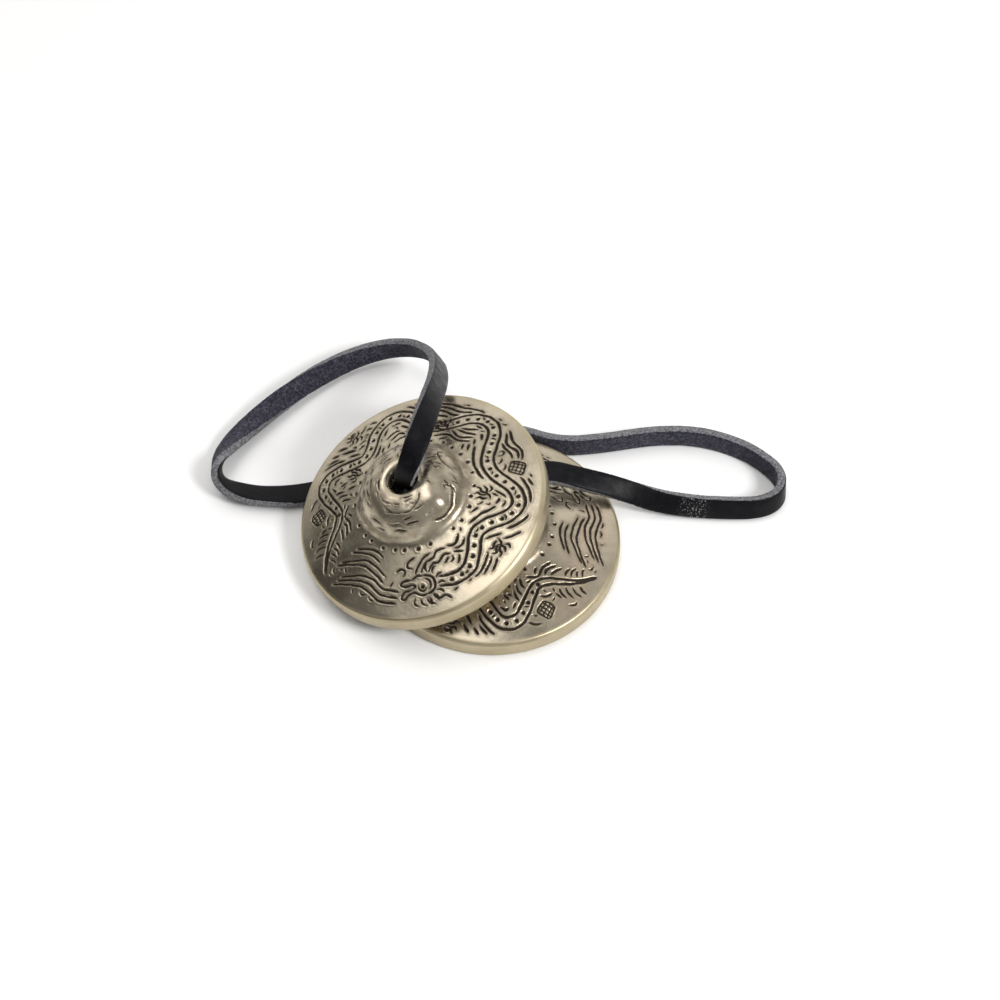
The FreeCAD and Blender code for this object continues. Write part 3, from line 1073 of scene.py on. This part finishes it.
def bronze_material():
    """Semi-polished grey-gold bronze, dark in the cuts, paler and yellower on the turned rim."""
    n = Finish("bronze")
    groove, near, polish = n.stored("groove"), n.stored("near"), n.stored("polish")
    side = n.span(polish, 0.3, 0.9)
    under = n.span(polish, -0.3, -0.9)
    cloud = n.noise(95, 4.0)
    fleck = n.noise(900, 5.0, 0.7)
    face = n.mix(n.span(cloud, 0.35, 0.68), (0.405, 0.355, 0.268), (0.54, 0.476, 0.367))
    # painted reflection: warm copper-coloured patches, at random over the face, standing in for warm
    # reflections
    warm_reflection_tint = n.math("MULTIPLY", n.span(n.noise(48, 2.0), 0.56, 0.72), 0.16)
    face = n.mix(warm_reflection_tint, face, (0.56, 0.36, 0.22))
    grime_and_shade = n.math("MULTIPLY", n.span(near, 0.2, 0.9), n.span(fleck, 0.25, 0.7), clamp=True)
    # painted shade: a mottled dark ring in the hollow round the dome's foot, joined with the real grime
    # beside the cuts
    painted_foot_shade = n.math("MULTIPLY", n.stored("foot"), n.span(n.noise(330, 4.0), 0.34, 0.62))
    grime_and_shade = n.math("MAXIMUM", grime_and_shade, painted_foot_shade)
    # darkens the face with the grime beside the cuts and the painted shade round the dome's foot
    face = n.mix(n.math("MULTIPLY", grime_and_shade, 0.68), face, (0.15, 0.12, 0.085))
    rim = n.mix(n.span(cloud, 0.3, 0.7), (0.405, 0.34, 0.22), (0.52, 0.455, 0.315))
    hollow = n.mix(n.span(fleck, 0.35, 0.65), (0.33, 0.27, 0.17), (0.50, 0.43, 0.29))
    colour = n.mix(under, n.mix(side, face, rim), hollow)
    colour = n.mix(n.span(groove, 0.08, 0.6), colour, (0.028, 0.019, 0.012))
    rough = n.math("ADD", n.span(cloud, 0.3, 0.7, 0.2, 0.3), n.math("MULTIPLY", grime_and_shade, 0.2))
    rough = n.math("ADD", rough, n.math("MULTIPLY", groove, 0.4))
    rough = n.math("ADD", rough, n.math("MULTIPLY", n.math("ADD", side, under), 0.16), clamp=True)
    metal = n.math("SUBTRACT", 1.0, n.math("MULTIPLY", groove, 0.6))
    pits = n.bump(fleck, 0.16, 0.0002)
    relief = n.bump(n.noise(3200, 2.0), 0.08, 0.0001, pits)
    return n.finish(Base_Color=colour, Roughness=rough, Metallic=metal, Normal=relief)


def leather_material():
    """Black finished leather: glossy face, dusty purple-grey suede back, pale fibrous cut edges."""
    n = Finish("strap_leather")
    cut, suede = n.stored("cut"), n.stored("suede")
    grain = n.noise(2600, 3.0, 0.6)
    crease = n.noise(420, 4.0, 0.65)
    fibre = n.noise(1500, 6.0, 0.75)
    blotch = n.noise(650, 3.0)
    face = n.mix(n.span(crease, 0.4, 0.75), (0.0025, 0.0025, 0.0037), (0.006, 0.006, 0.008))
    face = n.mix(n.span(grain, 0.62, 0.78, 0.0, 0.35), face, (0.05, 0.05, 0.055))
    nap = n.mix(n.span(fibre, 0.38, 0.66), (0.016, 0.0155, 0.025), (0.105, 0.104, 0.138))
    nap = n.mix(n.span(blotch, 0.42, 0.62, 0.0, 0.55), nap, (0.021, 0.020, 0.032))
    edge = n.mix(n.span(fibre, 0.32, 0.7), (0.06, 0.06, 0.068), (0.30, 0.30, 0.315))
    # painted highlight: a light-grey crackle painted into the face's colour round one spot of the strap's
    # near run
    glint_crackle = n.span(n.noise(2300, 4.0, 0.7), 0.56, 0.64)
    glint_mask = n.math("MULTIPLY", n.stored("painted_glint"), glint_crackle, clamp=True)
    face = n.mix(glint_mask, face, (0.34, 0.34, 0.34))
    suede_share = n.span(suede, 0.55, 0.95)
    ragged = n.math("MULTIPLY", n.math("SUBTRACT", fibre, 0.5), 0.7)
    cut_share = n.span(n.math("ADD", cut, ragged), 0.35, 0.75)
    colour = n.mix(cut_share, n.mix(suede_share, face, nap), edge)
    dull = n.math("MAXIMUM", suede_share, cut_share)
    rough = n.span(dull, 0.0, 1.0, 0.4, 0.95)
    rough = n.math("ADD", rough, n.span(crease, 0.3, 0.8, -0.04, 0.14), clamp=True)
    fine = n.bump(grain, n.span(dull, 0.0, 1.0, 0.14, 0.0), 0.0001)
    creased = n.bump(crease, n.span(dull, 0.0, 1.0, 0.25, 0.1), 0.0005, fine)
    fuzzy = n.bump(fibre, n.math("MULTIPLY", dull, 0.9), 0.0004, creased)
    sheen = n.math("MULTIPLY", dull, 0.12)
    gloss = n.span(dull, 0.0, 1.0, 0.12, 0.1)
    return n.finish(Base_Color=colour, Roughness=rough, Normal=fuzzy, Sheen_Weight=sheen,
                    Specular_IOR_Level=gloss)


def paper_material():
    """Plain pale floor."""
    n = Finish("floor_paper")
    tone = n.noise(6, 2.0)
    colour = n.mix(tone, (0.96, 0.96, 0.96), (0.975, 0.975, 0.975))
    return n.finish(Base_Color=colour, Roughness=0.85, Specular_IOR_Level=0.2)


# ---- stage and light

def make_floor():
    """A wide pale floor."""
    half = 6.0
    corners = [(-half, -half, 0), (half, -half, 0), (half, half, 0), (-half, half, 0)]
    mesh = bpy.data.meshes.new("floor")
    mesh.from_pydata(corners, [], [(0, 1, 2, 3)])
    mesh.materials.append(paper_material())
    link("floor", mesh)


# Patches of the room: which way each lies, how nearly a direction points there where the patch begins
# and where it is full, and how strong it is
SKYLIGHT = ((-0.42, 0.11, 0.90), 0.87, 0.97, 2.9)
BACK_WALL = ((0.10, 0.99, 0.10), 0.1, 0.85, 0.72)
DARK_WALL = ((-0.90, -0.15, 0.42), 0.55, 0.93, 0.75)
WALL_LIGHT = 0.42  # strength of the plain grey walls


def toward(n, way, low, high, bright):
    """One patch of the room, from 0 outside it to its brightness."""
    node = n.add("VectorMath")
    node.operation = "DOT_PRODUCT"
    n.join(n.coords, node.inputs[0])
    node.inputs[1].default_value = Vector(way).normalized()
    return n.span(node.outputs["Value"], low, high, 0.0, bright)


def make_room():
    """The world: mid grey walls, a skylight, a pale back wall and one dark wall."""
    world = bpy.data.worlds.new("room")
    world.use_nodes = True
    n = Nodes(world.node_tree, "Generated")
    bright = n.math("ADD", WALL_LIGHT, toward(n, *SKYLIGHT))
    bright = n.math("ADD", bright, toward(n, *BACK_WALL))
    shade = n.math("SUBTRACT", 1.0, toward(n, *DARK_WALL))
    background = n.tree.nodes["Background"]
    background.inputs["Color"].default_value = (1.0, 0.99, 0.975, 1)
    n.join(n.math("MULTIPLY", bright, shade), background.inputs["Strength"])
    bpy.context.scene.world = world


KEY_PLACE = Vector((0.63, -0.38, 0.63))
KEY_SIZE = 0.26  # metres
KEY_POWER = 5.8  # watts


def make_lights():
    """Soft studio light: a square key from the right front, aimed at the pair, and the room itself."""
    data = bpy.data.lights.new("key", "AREA")
    data.size = KEY_SIZE
    data.energy = KEY_POWER
    lamp = link("key", data)
    lamp.location = KEY_PLACE
    lamp.rotation_euler = (AIM - KEY_PLACE).to_track_quat("-Z", "Y").to_euler()
    make_room()
    bpy.context.scene.view_settings.view_transform = "Standard"


# ---- build

def dress(obj, material):
    """Gives a piece its material."""
    obj.data.materials.append(material)


def build_strap(leather):
    """The strap along its route with its two knots, hung under the strap's body in place of the imported
    parts.
    """
    points = spline_points([place for place, _ in STRAP_ROUTE])
    looks = spline_points([look for _, look in STRAP_ROUTE])
    band = make_strap("strap_band", points, looks)
    around = len(strap_section())
    # share of the painted highlight along the strap
    store(band.data, "painted_glint", [share for share in painted_glint(points) for _ in range(around)])
    dress(band, leather)
    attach(band, "strap")
    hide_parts("strap")
    for node, place in (("lower_knot", Matrix.Translation(LOWER_BASE)),
                        ("upper_knot", lean_matrix(UPPER_BASE, UPPER_TILT))):
        knot = make_knot(node + "_tied", place)
        dress(knot, leather)
        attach(knot, "strap")
        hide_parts(node)


def build_cymbals(bronze):
    """Both engraved cymbals at their places."""
    cuts = engraving()
    for body, base, tilt, turn, seed in (("lower_cymbal", LOWER_BASE, 0.0, LOWER_TURN, 1),
                                         ("upper_cymbal", UPPER_BASE, UPPER_TILT, 0.0, 2)):
        place = lean_matrix(base, tilt)
        obj = make_cymbal(body + "_engraved", place, turn, cuts, seed)
        dress(obj, bronze)
        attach(obj, body)
        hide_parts(body)


make_camera()
build_strap(leather_material())
build_cymbals(bronze_material())
make_floor()
make_lights()
